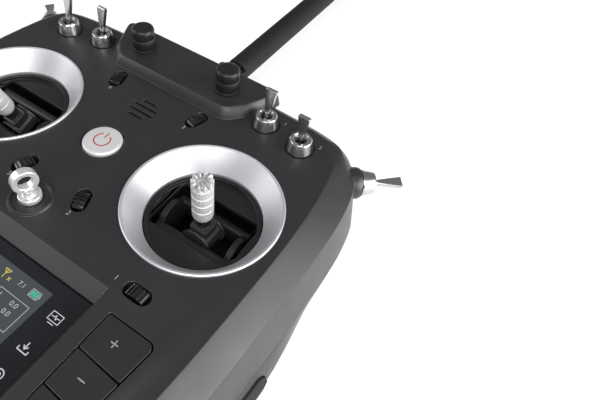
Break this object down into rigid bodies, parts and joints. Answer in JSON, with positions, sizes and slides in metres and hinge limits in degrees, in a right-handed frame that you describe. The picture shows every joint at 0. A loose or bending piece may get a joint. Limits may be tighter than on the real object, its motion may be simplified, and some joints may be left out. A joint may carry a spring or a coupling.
{
  "type": "radio transmitter controller",
  "caption": "Hand-held two-stick radio transmitter with toggle switches, knobs, trim rockers, a screen with keys, a strap eyelet and a folding antenna.",
  "frame": {"origin": "on the plane of the flat back, level with the stick centres and midway between them", "axes": "+X to the user's right, +Y towards the antenna, +Z out of the face"},
  "size_m": [0.2148, 0.3652, 0.0692],
  "materials": {
    "case_plastic": "fine textured charcoal moulding",
    "satin_silver": "satin silver plated ring",
    "gimbal_plastic": "black moulded plastic",
    "stick_silver": "matt knurled aluminium",
    "chrome": "polished nickel plate",
    "eyelet_steel": "polished steel",
    "switch_housing": "black moulded plastic",
    "knob_black": "black satin, knurled",
    "trim_black": "black ribbed rocker",
    "key_plastic": "charcoal key cap",
    "screen_glass": "black printed cover glass",
    "lcd_module": "display module frame",
    "speaker_cone": "paper cone in a black frame",
    "circuit_board": "solder mask",
    "battery_wrap": "shrink wrap",
    "button_silver": "satin silver painted button",
    "antenna_rubber": "satin black rubber sleeve",
    "grip_rubber": "textured rubber",
    "print_grey": "pad-printed figures and signs",
    "print_red": "pad-printed power sign",
    "touch_print": "signs printed under the glass",
    "display_light": "lit display area",
    "screw_steel": "blackened steel"
  },
  "bodies": {
    "case": {"front_case": "case_plastic", "rear_case": "case_plastic", "screen_glass": "screen_glass", "lcd_module": "lcd_module", "speaker": "speaker_cone", "main_board": "circuit_board", "battery_pack": "battery_wrap", "grip_left": "grip_rubber", "bezel_left": "satin_silver", "gimbal_housing_left": "gimbal_plastic", "potentiometer_left": "switch_housing", "switch_nut_inner_left": "chrome", "switch_body_inner_left": "switch_housing", "switch_nut_outer_left": "chrome", "switch_body_outer_left": "switch_housing", "switch_nut_side_left": "chrome", "switch_body_side_left": "switch_housing", "grip_right": "grip_rubber", "bezel_right": "satin_silver", "gimbal_housing_right": "gimbal_plastic", "potentiometer_right": "switch_housing", "switch_nut_inner_right": "chrome", "switch_body_inner_right": "switch_housing", "switch_nut_outer_right": "chrome", "switch_body_outer_right": "switch_housing", "switch_nut_side_right": "chrome", "switch_body_side_right": "switch_housing"},
    "yoke_left": {"outer_yoke_left": "gimbal_plastic"},
    "stick_left": {"stick_carrier_left": "gimbal_plastic", "stick_tip_left": "stick_silver"},
    "lever_inner_left": {"switch_lever_inner_left": "chrome"},
    "lever_outer_left": {"switch_lever_outer_left": "chrome"},
    "lever_side_left": {"switch_lever_side_left": "chrome"},
    "knob_left": {"knob_left": "knob_black"},
    "trim_upper_left": {"trim_upper_left": "trim_black"},
    "trim_inner_left": {"trim_inner_left": "trim_black"},
    "trim_lower_left": {"trim_lower_left": "trim_black"},
    "key_left_1": {"key_left_1": "key_plastic"},
    "key_left_2": {"key_left_2": "key_plastic"},
    "key_left_3": {"key_left_3": "key_plastic"},
    "yoke_right": {"outer_yoke_right": "gimbal_plastic"},
    "stick_right": {"stick_carrier_right": "gimbal_plastic", "stick_tip_right": "stick_silver"},
    "lever_inner_right": {"switch_lever_inner_right": "chrome"},
    "lever_outer_right": {"switch_lever_outer_right": "chrome"},
    "lever_side_right": {"switch_lever_side_right": "chrome"},
    "knob_right": {"knob_right": "knob_black"},
    "trim_upper_right": {"trim_upper_right": "trim_black"},
    "trim_inner_right": {"trim_inner_right": "trim_black"},
    "trim_lower_right": {"trim_lower_right": "trim_black"},
    "key_right_1": {"key_right_1": "key_plastic"},
    "key_right_2": {"key_right_2": "key_plastic"},
    "key_right_3": {"key_right_3": "key_plastic"},
    "power_button": {"power_button": "button_silver"},
    "strap_eyelet": {"strap_eyelet": "eyelet_steel"},
    "antenna_swivel": {"antenna_swivel": "antenna_rubber"},
    "antenna_whip": {"antenna_whip": "antenna_rubber"},
    "battery_cover": {"battery_cover": "case_plastic"}
  },
  "joints": [
    {"name": "stick_left_forward_back", "type": "hinge", "parent": "case", "child": "yoke_left", "pos_m": [-0.0527, 0, 0.033], "axis": [1, 0, 0], "range_deg": [-45, 3]},
    {"name": "stick_left_side_to_side", "type": "hinge", "parent": "yoke_left", "child": "stick_left", "pos_m": [-0.0527, 0, 0.033], "axis": [0, 0.9336, 0.3584], "range_deg": [-24, 24], "stiffness_Nm_per_rad": 0.03},
    {"name": "lever_inner_left_throw", "type": "hinge", "parent": "case", "child": "lever_inner_left", "pos_m": [-0.047, 0.0508, 0.0536], "axis": [1, 0, 0], "range_deg": [-2, 22]},
    {"name": "lever_outer_left_throw", "type": "hinge", "parent": "case", "child": "lever_outer_left", "pos_m": [-0.0659, 0.0476, 0.0536], "axis": [1, 0, 0], "range_deg": [-2, 22]},
    {"name": "lever_side_left_throw", "type": "hinge", "parent": "case", "child": "lever_side_left", "pos_m": [-0.09358, 0.05796, 0.04], "axis": [-0.6, -0.8, 0], "range_deg": [-12, 12]},
    {"name": "knob_left_turn", "type": "hinge", "parent": "case", "child": "knob_left", "pos_m": [-0.0238, 0.055, 0.0569], "axis": [0, 0, 1], "range_deg": [-150, 150]},
    {"name": "trim_upper_left_rock", "type": "hinge", "parent": "case", "child": "trim_upper_left", "pos_m": [-0.0223, 0.035, 0.046], "axis": [0.9703, 0.2419, 0], "range_deg": [-7, 7], "stiffness_Nm_per_rad": 0.02},
    {"name": "trim_inner_left_rock", "type": "hinge", "parent": "case", "child": "trim_inner_left", "pos_m": [-0.0153, -0.025, 0.046], "axis": [0.9336, -0.3584, 0], "range_deg": [-7, 7], "stiffness_Nm_per_rad": 0.02},
    {"name": "trim_lower_left_rock", "type": "hinge", "parent": "case", "child": "trim_lower_left", "pos_m": [-0.058, -0.042, 0.046], "axis": [0, -1, 0], "range_deg": [-7, 7], "stiffness_Nm_per_rad": 0.02},
    {"name": "key_left_1_press", "type": "slide", "parent": "case", "child": "key_left_1", "axis": [0, 0, -1], "range_m": [0, 0.001], "stiffness_N_per_m": 900},
    {"name": "key_left_2_press", "type": "slide", "parent": "case", "child": "key_left_2", "axis": [0, 0, -1], "range_m": [0, 0.001], "stiffness_N_per_m": 900},
    {"name": "key_left_3_press", "type": "slide", "parent": "case", "child": "key_left_3", "axis": [0, 0, -1], "range_m": [0, 0.001], "stiffness_N_per_m": 900},
    {"name": "stick_right_forward_back", "type": "hinge", "parent": "case", "child": "yoke_right", "pos_m": [0.0527, 0, 0.033], "axis": [1, 0, 0], "range_deg": [-24, 24], "stiffness_Nm_per_rad": 0.03},
    {"name": "stick_right_side_to_side", "type": "hinge", "parent": "yoke_right", "child": "stick_right", "pos_m": [0.0527, 0, 0.033], "axis": [0, 1, 0], "range_deg": [-24, 24], "stiffness_Nm_per_rad": 0.03},
    {"name": "lever_inner_right_throw", "type": "hinge", "parent": "case", "child": "lever_inner_right", "pos_m": [0.047, 0.0508, 0.0536], "axis": [1, 0, 0], "range_deg": [-2, 22]},
    {"name": "lever_outer_right_throw", "type": "hinge", "parent": "case", "child": "lever_outer_right", "pos_m": [0.0659, 0.0476, 0.0536], "axis": [1, 0, 0], "range_deg": [-12, 12]},
    {"name": "lever_side_right_throw", "type": "hinge", "parent": "case", "child": "lever_side_right", "pos_m": [0.09358, 0.05796, 0.04], "axis": [-0.6, 0.8, 0], "range_deg": [-12, 12]},
    {"name": "knob_right_turn", "type": "hinge", "parent": "case", "child": "knob_right", "pos_m": [0.0238, 0.055, 0.0569], "axis": [0, 0, 1], "range_deg": [-150, 150]},
    {"name": "trim_upper_right_rock", "type": "hinge", "parent": "case", "child": "trim_upper_right", "pos_m": [0.0223, 0.035, 0.046], "axis": [0.9703, -0.2419, 0], "range_deg": [-7, 7], "stiffness_Nm_per_rad": 0.02},
    {"name": "trim_inner_right_rock", "type": "hinge", "parent": "case", "child": "trim_inner_right", "pos_m": [0.0153, -0.025, 0.046], "axis": [0.9336, 0.3584, 0], "range_deg": [-7, 7], "stiffness_Nm_per_rad": 0.02},
    {"name": "trim_lower_right_rock", "type": "hinge", "parent": "case", "child": "trim_lower_right", "pos_m": [0.058, -0.042, 0.046], "axis": [0, 1, 0], "range_deg": [-7, 7], "stiffness_Nm_per_rad": 0.02},
    {"name": "key_right_1_press", "type": "slide", "parent": "case", "child": "key_right_1", "axis": [0, 0, -1], "range_m": [0, 0.001], "stiffness_N_per_m": 900},
    {"name": "key_right_2_press", "type": "slide", "parent": "case", "child": "key_right_2", "axis": [0, 0, -1], "range_m": [0, 0.001], "stiffness_N_per_m": 900},
    {"name": "key_right_3_press", "type": "slide", "parent": "case", "child": "key_right_3", "axis": [0, 0, -1], "range_m": [0, 0.001], "stiffness_N_per_m": 900},
    {"name": "power_button_press", "type": "slide", "parent": "case", "child": "power_button", "axis": [0, 0, -1], "range_m": [0, 0.0009], "stiffness_N_per_m": 900},
    {"name": "strap_eyelet_swivel", "type": "hinge", "parent": "case", "child": "strap_eyelet", "pos_m": [0, -0.0354, 0.0527], "axis": [0, 0, 1], "continuous": true},
    {"name": "antenna_swivel_turn", "type": "hinge", "parent": "case", "child": "antenna_swivel", "pos_m": [0, 0.0685, 0.0286], "axis": [0, 1, 0], "range_deg": [-90, 90]},
    {"name": "antenna_fold", "type": "hinge", "parent": "antenna_swivel", "child": "antenna_whip", "pos_m": [0, 0.0915, 0.0286], "axis": [1, 0, 0], "range_deg": [0, 90]},
    {"name": "battery_cover_slide", "type": "slide", "parent": "case", "child": "battery_cover", "axis": [0, -1, 0], "range_m": [0, 0.03]}
  ]
}
